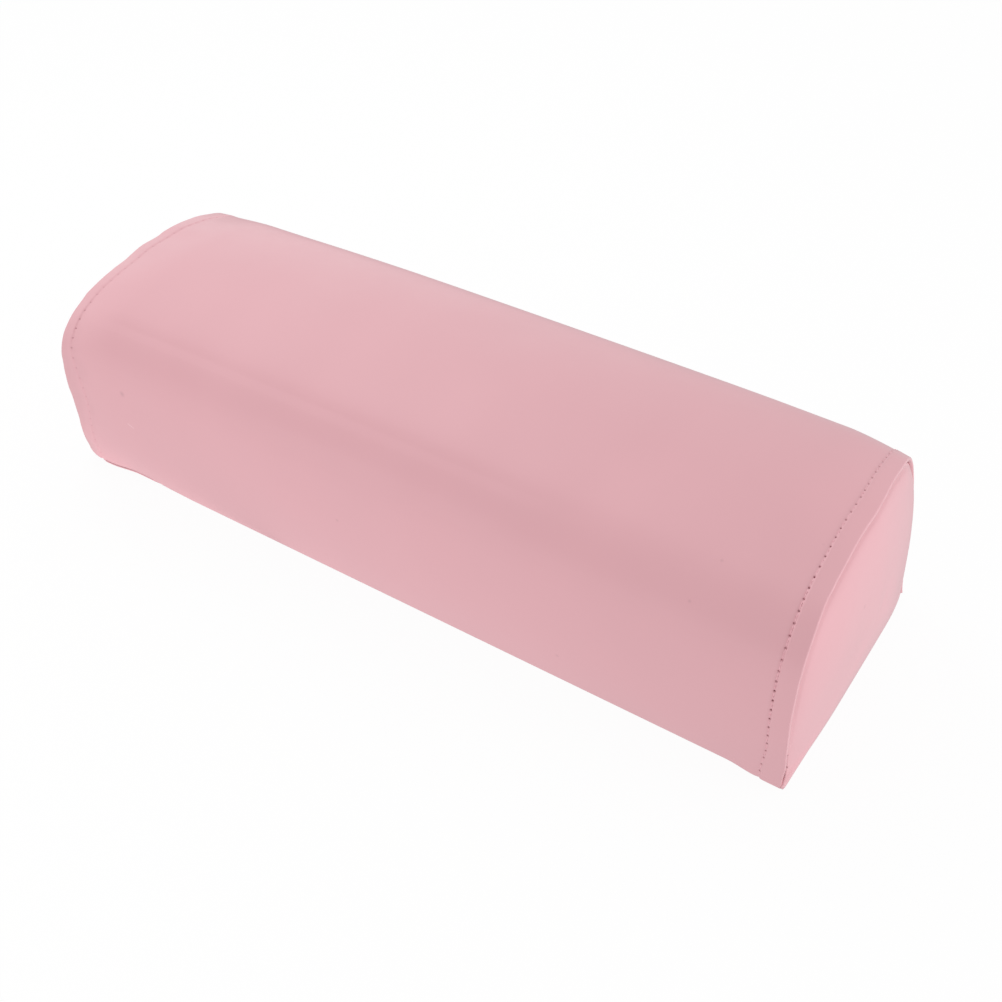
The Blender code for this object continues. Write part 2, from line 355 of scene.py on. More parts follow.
def arch_at(distance):
    """(points, inward normals) at these distances along the arch."""
    run = run_of(SECTION)
    points = np.stack([np.interp(distance, run, SECTION[:, k]) for k in range(2)], -1)
    normals = np.stack([np.interp(distance, run, SECTION_NORMALS[:, k]) for k in range(2)], -1)
    return points, normals / np.linalg.norm(normals, axis=-1)[..., None]


def share_left(reach, length):
    """1 at the end seam, falling to 0 where reach passes length."""
    return np.clip(1 - reach / length, 0, 1)


def smooth_step(value):
    """0 below 0, 1 above 1 and an even S between them."""
    value = np.clip(value, 0, 1)
    return value * value * (3 - 2 * value)


def hill(value, centre, spread):
    """1 at the centre, falling evenly towards 0 on both sides."""
    return np.exp(-(((value - centre) / spread) ** 2))


def at_wall(across):
    """1 at the foot of the wall where across is 1, and 0 over the rest of the base."""
    return smooth_step((across - 0.85) / 0.1)


def own_shape(side, high, across):
    """(out, up) of an end seam round the section, as it was sewn."""
    turn = 180 - np.degrees(np.arctan2(high, across))
    out, up = 0.0, 0.0
    for sign, shape in ((-1, LEFT_END_SHAPE), (1, RIGHT_END_SHAPE)):
        for centre, spread, further, higher in shape:
            share = (side == sign) * hill(turn, centre, spread) / 1000
            out = out + further * share
            up = up + higher * share
    return out, up


def foot_flare(side, reach, across):
    """How far the doubled hem stands out from the wall at its foot, near each end."""
    left = LEFT_FLARE * smooth_step(LEFT_FLARE_AT_SEAM + reach / LEFT_FLARE_START)
    left = left * smooth_step((LEFT_FLARE_LENGTH - reach) / LEFT_FLARE_FADE)
    right = RIGHT_FLARE + (across > 0) * BACK_FLARE
    right = right * smooth_step((RIGHT_FLARE_LENGTH - reach) / RIGHT_FLARE_FADE)
    return np.where(side < 0, left, right)


def foot_lift(side, reach, across):
    """How far the front hem rides up near the left end, and the back one at the right corner."""
    near_corner = share_left(reach, CORNER_LENGTH) ** CORNER_EASE
    beside = LEFT_FOOT_LIFT * smooth_step(reach / HEM_GAP_START)
    beside = beside * smooth_step((HEM_GAP_LENGTH - reach) / HEM_GAP_FADE)
    front = (LEFT_CORNER_LIFT * near_corner + beside) * (side < 0)
    back = BACK_CORNER_LIFT * near_corner * (side > 0)
    return front * at_wall(-across) + back * at_wall(across)


def back_fullness(across, high, x):
    """How much fuller the back shoulder is than the front one, away from the left end."""
    shoulder = BACK_FULLNESS * smooth_step((across - 0.1) / 0.7) * smooth_step((high - 0.5) / 0.3)
    return shoulder * smooth_step((x + 0.115) / 0.07)


def on_cushion(point, normal, x, depth):
    """Section spots carried to x and set in by depth, with the swell and the drawn-in ends."""
    side = np.where(x < 0, -1.0, 1.0)
    reach = np.maximum(HALF_LENGTH - np.abs(x), 0)
    high = np.clip(point[..., 1] / CROWN_HEIGHT, 0, None)
    across = point[..., 0] / HALF_BASE
    pinch = END_PINCH * share_left(reach, PINCH_LENGTH) ** PINCH_EASE
    belly = BELLY_RISE * (1 - (1 - reach / HALF_LENGTH) ** 2)
    out, up = own_shape(side, high, across)
    near_seam = share_left(reach, SHAPE_LENGTH) ** 2
    fullness = back_fullness(across, high, x)
    inset = depth + high**HEIGHT_EASE * (pinch - belly) - fullness - up * near_seam
    section = point + normal * inset[..., None]
    near_end = share_left(reach, LEAN_LENGTH)
    own_lean = np.where(
        side > 0,
        RIGHT_LEAN + RIGHT_LEAN_BACKWARD * across,
        LEFT_LEAN + LEFT_LEAN_BACKWARD * across,
    )
    lean = high * (LEAN_BY_HEIGHT - LEAN_EASING * high + own_lean) * near_end - out * near_seam
    near_foot = np.exp(-point[..., 1] / FLARE_HEIGHT)
    flare = foot_flare(side, reach, across) * near_foot
    y = section[..., 0] + np.sign(across) * flare - CROWN_SHIFT * high * near_end
    z = section[..., 1] + foot_lift(side, reach, across) * near_foot
    return np.stack([x - side * lean, y, z], -1)


# Mesh helpers


def grid_faces(index):
    """Quads over a grid of vertex numbers."""
    corners = [index[:-1, :-1], index[1:, :-1], index[1:, 1:], index[:-1, 1:]]
    return np.stack(corners, -1).reshape(-1, 4).tolist()


def closed_columns(index):
    """A grid of vertex numbers whose last column is its first one again."""
    return np.column_stack([index, index[:, 0]])


def fan_faces(centre, ring):
    """Triangles from a centre vertex to a closed ring."""
    return [[centre, int(a), int(b)] for a, b in zip(ring, np.roll(ring, -1))]


def capped_rings(rings, middles):
    """(points, faces) of rings joined in turn, with a fan from each of two middles to the outermost."""
    count = len(rings[0])
    number = np.arange(len(rings) * count).reshape(len(rings), count)
    faces = grid_faces(closed_columns(number))
    faces += fan_faces(number.size, number[0])
    faces += fan_faces(number.size + 1, number[-1][::-1])
    return np.vstack(rings + middles), faces


def new_piece(name, points, faces, material, attributes=None):
    """A smooth mesh piece with outward faces; attributes are one number a vertex."""
    mesh = bpy.data.meshes.new(name)
    mesh.from_pydata(points.tolist(), [], faces)
    mesh.calc_loop_triangles()
    corners = np.empty(len(mesh.loop_triangles) * 3, np.int32)
    mesh.loop_triangles.foreach_get("vertices", corners)
    a, b, c = (points[corners.reshape(-1, 3)[:, k]] for k in range(3))
    if np.einsum("ij,ij->i", a, np.cross(b, c)).sum() < 0:
        mesh.flip_normals()
    for label, values in (attributes or {}).items():
        layer = mesh.attributes.new(label, "FLOAT", "POINT")
        layer.data.foreach_set("value", values.astype(np.float32).ravel())
    mesh.materials.append(material)
    mesh.shade_smooth()
    mesh.validate()
    piece = bpy.data.objects.new(name, mesh)
    bpy.context.scene.collection.objects.link(piece)
    return piece


# Materials


def linear(hex_colour):
    """An sRGB hex colour as linear RGBA."""
    channels = [int(hex_colour[k : k + 2], 16) / 255 for k in (1, 3, 5)]
    return (*(c / 12.92 if c <= 0.04045 else ((c + 0.055) / 1.055) ** 2.4 for c in channels), 1.0)


def node(tree, kind, inputs=None, **settings):
    """Adds a node with its settings; inputs maps a socket to a value or to another node's output."""
    made = tree.nodes.new(kind)
    for label, value in settings.items():
        setattr(made, label, value)
    for socket, value in (inputs or {}).items():
        if isinstance(value, bpy.types.NodeSocket):
            tree.links.new(value, made.inputs[socket])
        else:
            made.inputs[socket].default_value = value
    return made


def new_material(name, viewport_colour):
    """A material with only its output, and the tree and output to build on."""
    material = bpy.data.materials.new(name)
    material.use_nodes = True
    material.diffuse_color = linear(viewport_colour)
    tree = material.node_tree
    tree.nodes.clear()
    return material, tree, node(tree, "ShaderNodeOutputMaterial")


def per_metre(millimetres):
    """The texture scale whose pattern repeats about every so many millimetres."""
    return 1000.0 / millimetres


def speck_mask(tree, place, specks):
    """Each speck's strength at its middle, fading to 0 at its edge."""
    mask = None
    for x, y, z, radius, strength in specks:
        middle = (x / 1000, y / 1000, z / 1000)
        away = node(tree, "ShaderNodeVectorMath", {0: place, 1: middle}, operation="DISTANCE")
        spot = node(
            tree,
            "ShaderNodeMapRange",
            {
                "Value": away.outputs["Value"],
                "From Min": radius / 1000,
                "From Max": radius / 4000,
                "To Min": 0.0,
                "To Max": strength,
            },
        )
        shade = spot.outputs["Result"]
        if mask is not None:
            shade = node(tree, "ShaderNodeMath", {0: mask, 1: shade}, operation="MAXIMUM").outputs[0]
        mask = shade
    return mask


def leathercloth(name, dye, dye_cloud, specks):
    """Polyurethane leathercloth, calendered smooth: a satin skin whose fine pore grain barely shows."""
    material, tree, output = new_material(name, dye)
    place = node(tree, "ShaderNodeTexCoord").outputs["Object"]
    # Pores of the embossed skin, about 0.7 mm apart, drawn shallow
    pores = node(
        tree,
        "ShaderNodeTexVoronoi",
        {"Vector": place, "Scale": per_metre(0.7), "Randomness": 1.0},
        feature="SMOOTH_F1",
    )
    # Slow waves of the pressed skin, about 6 mm across
    waves = node(
        tree,
        "ShaderNodeTexNoise",
        {"Vector": place, "Scale": per_metre(6), "Detail": 3.0, "Roughness": 0.55},
    )
    # Uneven dye, in clouds of about 45 mm
    clouds = node(
        tree,
        "ShaderNodeTexNoise",
        {"Vector": place, "Scale": per_metre(45), "Detail": 2.0, "Roughness": 0.5},
    )
    tone = node(
        tree,
        "ShaderNodeMapRange",
        {"Value": clouds.outputs["Fac"], "From Min": 0.3, "From Max": 0.7},
    )
    dyed = node(
        tree,
        "ShaderNodeMix",
        {0: tone.outputs["Result"], 6: linear(dye), 7: linear(dye_cloud)},
        data_type="RGBA",
    )
    # Painted highlight: the rounded edge of each fold is painted paler, standing in for the light it
    # catches
    edge = node(tree, "ShaderNodeAttribute", attribute_name="edge").outputs["Fac"]
    highlighted_fold = node(
        tree,
        "ShaderNodeMix",
        {0: edge, 6: dyed.outputs[2], 7: linear("#F3CDD3")},
        data_type="RGBA",
    )
    # Painted shade: the needle holes are painted dark red on top of the pits' own shade, standing in for
    # the shade inside them
    needle = node(tree, "ShaderNodeAttribute", attribute_name="needle").outputs["Fac"]
    hole_shaded = node(
        tree,
        "ShaderNodeMix",
        {0: needle, 6: highlighted_fold.outputs[2], 7: linear("#7A0A2C")},
        data_type="RGBA",
    )
    # Specks of dust and dye
    specked = node(
        tree,
        "ShaderNodeMix",
        {0: speck_mask(tree, place, specks), 6: hole_shaded.outputs[2], 7: linear("#8A5560")},
        data_type="RGBA",
    )
    scuffed = node(
        tree,
        "ShaderNodeMix",
        {0: speck_mask(tree, place, SCUFF), 6: specked.outputs[2], 7: linear("#F8DCE0")},
        data_type="RGBA",
    )
    satin = node(
        tree,
        "ShaderNodeMapRange",
        {
            "Value": waves.outputs["Fac"],
            "From Min": 0.3,
            "From Max": 0.7,
            "To Min": 0.28,
            "To Max": 0.33,
        },
    )
    grain = node(
        tree,
        "ShaderNodeBump",
        {"Height": pores.outputs["Distance"], "Strength": 0.12, "Distance": 0.00005},
    )
    ripple = node(
        tree,
        "ShaderNodeBump",
        {
            "Height": waves.outputs["Fac"],
            "Strength": 0.25,
            "Distance": 0.0002,
            "Normal": grain.outputs["Normal"],
        },
    )
    # Slack in the cover, which lies a little uneven over the sponge
    slack = node(tree, "ShaderNodeTexNoise", {"Vector": place, "Scale": per_metre(30), "Detail": 0.0})
    skin = node(
        tree,
        "ShaderNodeBump",
        {
            "Height": slack.outputs["Fac"],
            "Strength": 0.5,
            "Distance": 0.0022,
            "Normal": ripple.outputs["Normal"],
        },
    )
    shader = node(
        tree,
        "ShaderNodeBsdfPrincipled",
        {
            "Base Color": scuffed.outputs[2],
            "Roughness": satin.outputs["Result"],
            "IOR": 1.55,
            "Normal": skin.outputs["Normal"],
        },
    )
    tree.links.new(shader.outputs["BSDF"], output.inputs["Surface"])
    return material


def sewing_thread(name):
    """Spun polyester sewing thread, dyed to match: matt, and fine enough to blend with the skin."""
    material, tree, output = new_material(name, "#E7B4BC")
    place = node(tree, "ShaderNodeTexCoord").outputs["Object"]
    fibres = node(
        tree,
        "ShaderNodeTexNoise",
        {"Vector": place, "Scale": per_metre(0.12), "Detail": 2.0},
    )
    colour = node(
        tree,
        "ShaderNodeMix",
        {0: fibres.outputs["Fac"], 6: linear("#E6ABB4"), 7: linear("#F2BEC6")},
        data_type="RGBA",
    )
    bump = node(
        tree,
        "ShaderNodeBump",
        {"Height": fibres.outputs["Fac"], "Strength": 0.3, "Distance": 0.00003},
    )
    shader = node(
        tree,
        "ShaderNodeBsdfPrincipled",
        {"Base Color": colour.outputs[2], "Roughness": 0.7, "Normal": bump.outputs["Normal"]},
    )
    tree.links.new(shader.outputs["BSDF"], output.inputs["Surface"])
    return material


def cut_sponge(name):
    """Open-cell polyurethane foam, cut from a block: matt, off-white, full of fine pores."""
    material, tree, output = new_material(name, "#EDE6D6")
    place = node(tree, "ShaderNodeTexCoord").outputs["Object"]
    cells = node(tree, "ShaderNodeTexVoronoi", {"Vector": place, "Scale": per_metre(0.9)})
    colour = node(
        tree,
        "ShaderNodeMix",
        {0: cells.outputs["Distance"], 6: linear("#D8CDB6"), 7: linear("#F1EBDC")},
        data_type="RGBA",
    )
    bump = node(
        tree,
        "ShaderNodeBump",
        {"Height": cells.outputs["Distance"], "Strength": 0.8, "Distance": 0.0004},
    )
    shader = node(
        tree,
        "ShaderNodeBsdfPrincipled",
        {"Base Color": colour.outputs[2], "Roughness": 0.95, "Normal": bump.outputs["Normal"]},
    )
    tree.links.new(shader.outputs["BSDF"], output.inputs["Surface"])
    return material


# Stitch rows


STITCHES = round(ARCH_LENGTH / STITCH_PITCH)
PITCH = ARCH_LENGTH / STITCHES


def row_inset(side, point):
    """How far in from the seam a stitch row runs, as it wanders down the front wall."""
    height = point[..., 1]
    front = point[..., 0] < 0
    if side < 0:
        wander = sum(further * hill(height, centre, spread) for further, centre, spread in LEFT_ROW_WANDER)
        return STITCH_INSET + front * wander - LEFT_ROW_OUTWARD * smooth_step((height - 0.060) / 0.008)
    return STITCH_INSET + front * RIGHT_ROW_INWARD * smooth_step((0.020 - height) / 0.020)


def lip_wave(side, distance):
    """How the sewn edge wavers along its length, in metres."""
    amplitude = LEFT_WAVE if side < 0 else RIGHT_WAVE
    total = 0
    for length, phase, share in LIP_WAVES:
        total = total + share * np.sin(2 * math.pi * distance / length + phase + side)
    return amplitude * total


def lip_retreat(side, point):
    """How far the sewn edge draws back from the corner at the foot of the front wall."""
    low = hill(point[..., 1], 0.0, RETREAT_HEIGHT) * (point[..., 0] < 0)
    return low * (RIGHT_RETREAT if side > 0 else LEFT_RETREAT)


def hole_strength(side, distance):
    """How plainly the needle holes show: most on the front shoulder, and less at the left end."""
    least, more, place, spread = LEFT_HOLES if side < 0 else RIGHT_HOLES
    return least + more * hill(distance, place, spread)


def near_row(side, distance, offset):
    """(depth, needle) beside a stitch row: its groove, its puckers and its needle holes."""
    phase = (distance / PITCH) % 1.0
    from_hole = np.minimum(phase, 1 - phase) * PITCH
    strength = hole_strength(side, distance)
    pulled = 0.15 + 0.85 * strength if side > 0 else 0.15 + 0.3 * strength
    groove = GROOVE_DEPTH * pulled * hill(offset, 0.0, GROOVE_SPREAD)
    pucker = PUCKER_DEPTH * np.cos(2 * math.pi * phase) * hill(offset, 0.0, PUCKER_SPREAD)
    hole = strength * np.exp(-(from_hole**2 + offset**2) / HOLE_RADIUS**2)
    # The needle share is how much painted shade darkens each hole
    return groove + pucker + HOLE_DEPTH * hole, np.minimum(3.0 * hole**1.5, 1.0)


# Top cover panel


def shoulder_crease(distance, x):
    """A shallow crease along the front shoulder, from the left seam to past the middle."""
    started = smooth_step((x - CREASE_START) / CREASE_START_FADE)
    unfinished = smooth_step((CREASE_END - x) / CREASE_END_FADE)
    return CREASE_DEPTH * hill(distance, CREASE_PLACE, CREASE_SPREAD) * started * unfinished


def cover_columns():
    """(reach, outer depth, inner depth) of the right half, from mid-length to the fold."""
    body = np.concatenate([np.linspace(*run) for run in BODY_COLUMNS])
    beside = STITCH_INSET + np.concatenate([np.linspace(*run) for run in STITCH_COLUMNS])
    band = np.append(np.linspace(*BAND_COLUMNS), FOLD_RADIUS)
    turn = np.radians(FOLD_DEGREES)
    fold = FOLD_RADIUS - FOLD_RADIUS * np.sin(turn)
    fold_depth = FOLD_RADIUS - FOLD_RADIUS * np.cos(turn)
    reach = np.concatenate([body, beside, band, fold])
    outer = np.concatenate([np.zeros(len(body) + len(beside) + len(band)), fold_depth])
    layers = 1 + smooth_step((HEM_WIDTH + HEM_STEP - reach) / HEM_STEP)
    inner = SHEET * layers
    inner[-len(turn) :] = 2 * FOLD_RADIUS - fold_depth
    return reach, outer, inner


def cover_rows():
    """(distances along the arch, how far the turned foot draws in) for each row."""
    turn = np.radians(FOOT_DEGREES)
    foot = FOLD_RADIUS * (1 - np.cos(turn))
    drawn = FOLD_RADIUS * (1 - np.sin(turn))
    regular = PITCH * (np.arange(STITCHES)[:, None] + ROWS_PER_STITCH).ravel()
    clear = foot[-1] + 0.0002
    regular = regular[(regular > clear) & (regular < ARCH_LENGTH - clear)]
    distance = np.concatenate([foot, regular, ARCH_LENGTH - foot[::-1]])
    draw = np.concatenate([drawn, np.zeros(len(regular)), drawn[::-1]])
    return distance, draw


def top_cover(material):
    """One sheet over the front, top and back, with turned ends, stitch grooves and needle holes."""
    reach, outer_depth, inner_depth = cover_columns()
    distance, foot_draw = cover_rows()
    arch, normal = arch_at(distance)
    drawn = foot_draw[:, None]
    halves = []
    for side in (-1, 1):
        inset = row_inset(side, arch)[:, None]
        follow = np.where(
            reach < STITCH_INSET,
            smooth_step(reach / STITCH_INSET),
            smooth_step((ROW_EASE_LENGTH - reach) / (ROW_EASE_LENGTH - STITCH_INSET)),
        )
        wave = lip_wave(side, distance)[:, None] * share_left(reach, WAVE_REACH)
        retreat = lip_retreat(side, arch)[:, None] * share_left(reach, STITCH_INSET)
        there = reach + (inset - STITCH_INSET) * follow + np.abs(wave) + retreat
        relief, needle = near_row(side, distance[:, None], there - inset)
        band = BAND_RISE * smooth_step((inset + BAND_STEP - there) / (2 * BAND_STEP))
        swell = wave * SWELL_SHARE
        x = side * (HALF_LENGTH - there)
        crease = shoulder_crease(distance[:, None], x)
        depth = outer_depth + relief - band + swell + drawn + crease
        inside = np.maximum(inner_depth - drawn, outer_depth + drawn + LEAST_SHEET) + swell
        # The edge of each fold carries a painted highlight, as a share
        edge = FOLD_EDGE_HIGHLIGHT * smooth_step((FOLD_RADIUS - there) / FOLD_RADIUS)
        halves.append((x, depth, inside, needle, edge * np.ones_like(needle)))

    def joined(item):
        left, right = halves[0][item], halves[1][item]
        return np.hstack([left[:, ::-1], right[:, 1:]])

    x, depth, inside, needle, edge = (joined(k) for k in range(5))
    spots = np.repeat(arch[:, None], x.shape[1], axis=1)
    inwards = np.repeat(normal[:, None], x.shape[1], axis=1)
    outer = on_cushion(spots, inwards, x, depth)
    inner = on_cushion(spots, inwards, x, inside)
    rows, columns = x.shape
    number = np.arange(rows * columns).reshape(rows, columns)
    ring = np.hstack([number, number[:, ::-1] + rows * columns])
    faces = grid_faces(closed_columns(ring))
    under = number + rows * columns
    faces += [[a, b, d, c] for a, b, c, d in zip(number[0], number[0, 1:], under[0], under[0, 1:])]
    faces += [[c, d, b, a] for a, b, c, d in zip(number[-1], number[-1, 1:], under[-1], under[-1, 1:])]
    points = np.vstack([outer.reshape(-1, 3), inner.reshape(-1, 3)])
    plain = np.zeros(rows * columns)
    attributes = {
        "needle": np.concatenate([needle.ravel(), plain]),
        "edge": np.concatenate([edge.ravel(), plain]),
    }
    faces = [[int(corner) for corner in face] for face in faces]
    return new_piece("top_cover", points, faces, material, attributes)


# End panels, base and sponge


def eased_loop(points, spread):
    """A closed, evenly spaced loop with its bends eased over about this many points."""
    reach, weights = soft_average(spread)
    return sum(w * np.roll(points, k, axis=0) for k, w in zip(range(-reach, reach + 1), weights))


def end_loop(count):
    """(points, normals, how much of each is arch) of the closed end outline."""
    arch = point_at(SECTION, np.linspace(0, ARCH_LENGTH, LOOP_ARCH_POINTS))
    across = np.linspace(HALF_BASE, -HALF_BASE, LOOP_BASE_POINTS)[1:-1]
    base = np.column_stack([across, np.zeros_like(across)])
    whole = np.vstack([arch, base, arch[:1]])
    run = run_of(whole)
    distance = np.linspace(0, run[-1], count, endpoint=False)
    soft = eased_loop(point_at(whole, distance), LOOP_EASING)
    normals = normals_of(soft, closed=True)
    on_base = smooth_step((distance - ARCH_LENGTH + CORNER_BLEND) / (2 * CORNER_BLEND))
    on_base *= smooth_step((run[-1] - distance + CORNER_BLEND) / (2 * CORNER_BLEND))
    return soft, normals, 1 - on_base


def dome_fullness(points):
    """How steeply an end swells from its rim: more under the crown than along the base."""
    return 1 - (1 - DOME_FULLNESS) * smooth_step(points[:, 1] / FULL_BELOW)


def end_panel(name, side, material):
    """A bulged sheet whose edge turns in under the hems as a seam allowance."""
    points, normals, is_arch = end_loop(PANEL_POINTS)
    face_x = HALF_LENGTH - LIP_REACH
    inner_x = face_x - SHEET
    gap = SEAM_GAP * hill(points[:, 1], SEAM_GAP_HEIGHT, SEAM_GAP_SPREAD)
    gap = gap * (points[:, 0] < 0) * is_arch * (1 if side > 0 else LEFT_GAP_SHARE)
    lip = FLANGE_DEPTH * is_arch + PIECE_GAP * (1 - is_arch) + gap
    to_back = smooth_step((points[:, 0] / HALF_BASE - 0.6) / 0.4)
    forward = LIP_REACH * np.maximum(to_back * is_arch, BASE_EDGE_SHARE * (1 - is_arch))
    from_corner = np.hypot(points[:, 0] + HALF_BASE, points[:, 1])
    fold = hill(from_corner, 0.0, CORNER_FOLD_SPREAD) * (side > 0)

    def ring(x, depth, folded=0.0):
        depth = depth * (1 - folded * fold) - CORNER_FOLD * folded * fold
        return on_cushion(points, normals, side * x, depth) + np.outer(forward, (side, 0, 0))

    fullness = dome_fullness(points)

    def domed(rim, share, x):
        middle = np.array([side * (x - DOME_SETBACK), -DOME_FORWARD, CROWN_HEIGHT * END_MIDDLE])
        out = eased_loop(END_BULGE * (1 - share**DOME_POWER) ** fullness, BULGE_EASING)
        # Away from the rim the swell loses the corners of the outline
        rounded = eased_loop(rim, RIM_EASING)
        loop = rounded + (rim - rounded) * share**5
        return middle + (loop - middle) * share + np.outer(out, (side, 0, 0))

    rim_outer = ring(face_x, lip + TURN_RADIUS, 1.0)
    rim_inner = ring(inner_x, lip + TURN_RADIUS)
    rings = [domed(rim_outer, share, face_x) for share in DOME_SHARES]
    rings.append(rim_outer)
    for degrees in TURN_DEGREES:
        turn = math.radians(degrees)
        x = face_x - TURN_RADIUS * (1 - math.cos(turn))
        folded = 0.0 if degrees == TURN_DEGREES[-1] else 1.0
        rings.append(ring(x, lip + TURN_RADIUS * (1 - math.sin(turn)), folded))
    flange_end = HALF_LENGTH - np.where(is_arch > 0.5, HEM_WIDTH, BASE_FLANGE)
    rings.append(ring(flange_end, lip))
    rings.append(ring(flange_end, lip + SHEET))
    rings.append(ring(face_x - TURN_RADIUS, lip + SHEET))
    rings.append(rim_inner)
    rings += [domed(rim_inner, share, inner_x) for share in INNER_SHARES]
    middles = [domed(rim_outer, 0.0, face_x)[:1], domed(rim_inner, 0.0, inner_x)[:1]]
    vertices, faces = capped_rings(rings, middles)
    vertices[:, 2] = np.maximum(vertices[:, 2], 0.0)
    needle = np.zeros(len(vertices))
    if side > 0:
        # The closing seam's holes lie on the second ring of the turned edge, where painted shade darkens
        # them
        first = (len(DOME_SHARES) + 2) * len(points)
        for height in CLOSING_HOLES:
            hole = np.array([HALF_LENGTH, -HALF_BASE + CLOSING_SEAM_INSET, height])
            near = np.argmin(np.linalg.norm(rim_outer - hole, axis=1))
            needle[first + near] = 1.0
    return new_piece(name, vertices, faces, material, {"needle": needle})


def rounded_rectangle(half_x, half_y, radius, count=12):
    """A plan outline (x, y) with rounded corners."""
    corner = np.linspace(0, math.pi / 2, count)
    parts = []
    for turn, (sx, sy) in enumerate(((1, 1), (-1, 1), (-1, -1), (1, -1))):
        angle = corner + turn * math.pi / 2
        centre = np.array([sx * (half_x - radius), sy * (half_y - radius)])
        parts.append(centre + radius * np.column_stack([np.cos(angle), np.sin(angle)]))
    outline = np.vstack(parts + [parts[0][:1]])
    return point_at(outline, np.linspace(0, run_of(outline)[-1], BASE_POINTS, endpoint=False))


def base_sheet(material):
    """The flat sheet that the cushion stands on, its edge turned up inside the feet of the walls."""
    half_x = HALF_LENGTH - LIP_REACH - SHEET - BASE_GAP_X
    half_y = HALF_BASE - 2 * SHEET - PIECE_GAP
    radius = SHEET / 2
    profile = [(0.030, 0.0), (0.010, 0.0)]
    for degrees in (0, 30, 60, 90, 120, 150, 180):
        turn = math.radians(degrees)
        profile.append((radius - radius * math.sin(turn), radius - radius * math.cos(turn)))
    profile += [(0.010, SHEET), (0.030, SHEET)]
    rings = []
    for inset, z in profile:
        outline = rounded_rectangle(half_x - inset, half_y - inset, max(BASE_CORNER - inset, 0.0006))
        # Near the left end the front edge comes out flush with the lifted hem
        reach = HALF_LENGTH + outline[:, 0]
        flush = smooth_step((reach - 0.002) / 0.008) * smooth_step((HEM_GAP_LENGTH - reach) / 0.014)
        out = (BASE_FLUSH_OUT + foot_flare(-1.0, reach, -1.0)) * flush
        outline[:, 1] -= out * at_wall(-outline[:, 1] / half_y)
        rings.append(np.column_stack([outline, np.full(len(outline), z)]))
    middles = [np.array([[0, 0, 0.0]]), np.array([[0, 0, SHEET]])]
    return new_piece("base_sheet", *capped_rings(rings, middles), material)


def sponge_block(material):
    """The sponge inside, a little smaller than the cover all round."""
    points, normals, is_arch = end_loop(SPONGE_POINTS)
    depth = 2 * SHEET + SPONGE_GAP + SPONGE_WALL_GAP * is_arch
    face_x = HALF_LENGTH - LIP_REACH - SPONGE_END_GAP
    stations = np.concatenate([[-face_x], SPONGE_STATIONS, [face_x]])
    body = [on_cushion(points, normals, np.full(len(points), x), depth) for x in stations]
    fullness = dome_fullness(points)

    def domed(rim, share, side):
        middle = np.array([side * (face_x - DOME_SETBACK), 0.0, CROWN_HEIGHT * END_MIDDLE])
        out = END_BULGE * (1 - share**DOME_POWER) ** fullness
        return middle + (rim - middle) * share + np.outer(out, (side, 0, 0))

    rings = [domed(body[0], share, -1) for share in SPONGE_SHARES] + body
    rings += [domed(body[-1], share, 1) for share in reversed(SPONGE_SHARES)]
    middles = [domed(body[0], 0.0, -1)[:1], domed(body[-1], 0.0, 1)[:1]]
    return new_piece("sponge_block", *capped_rings(rings, middles), material)


# Stitches, by Geometry Nodes


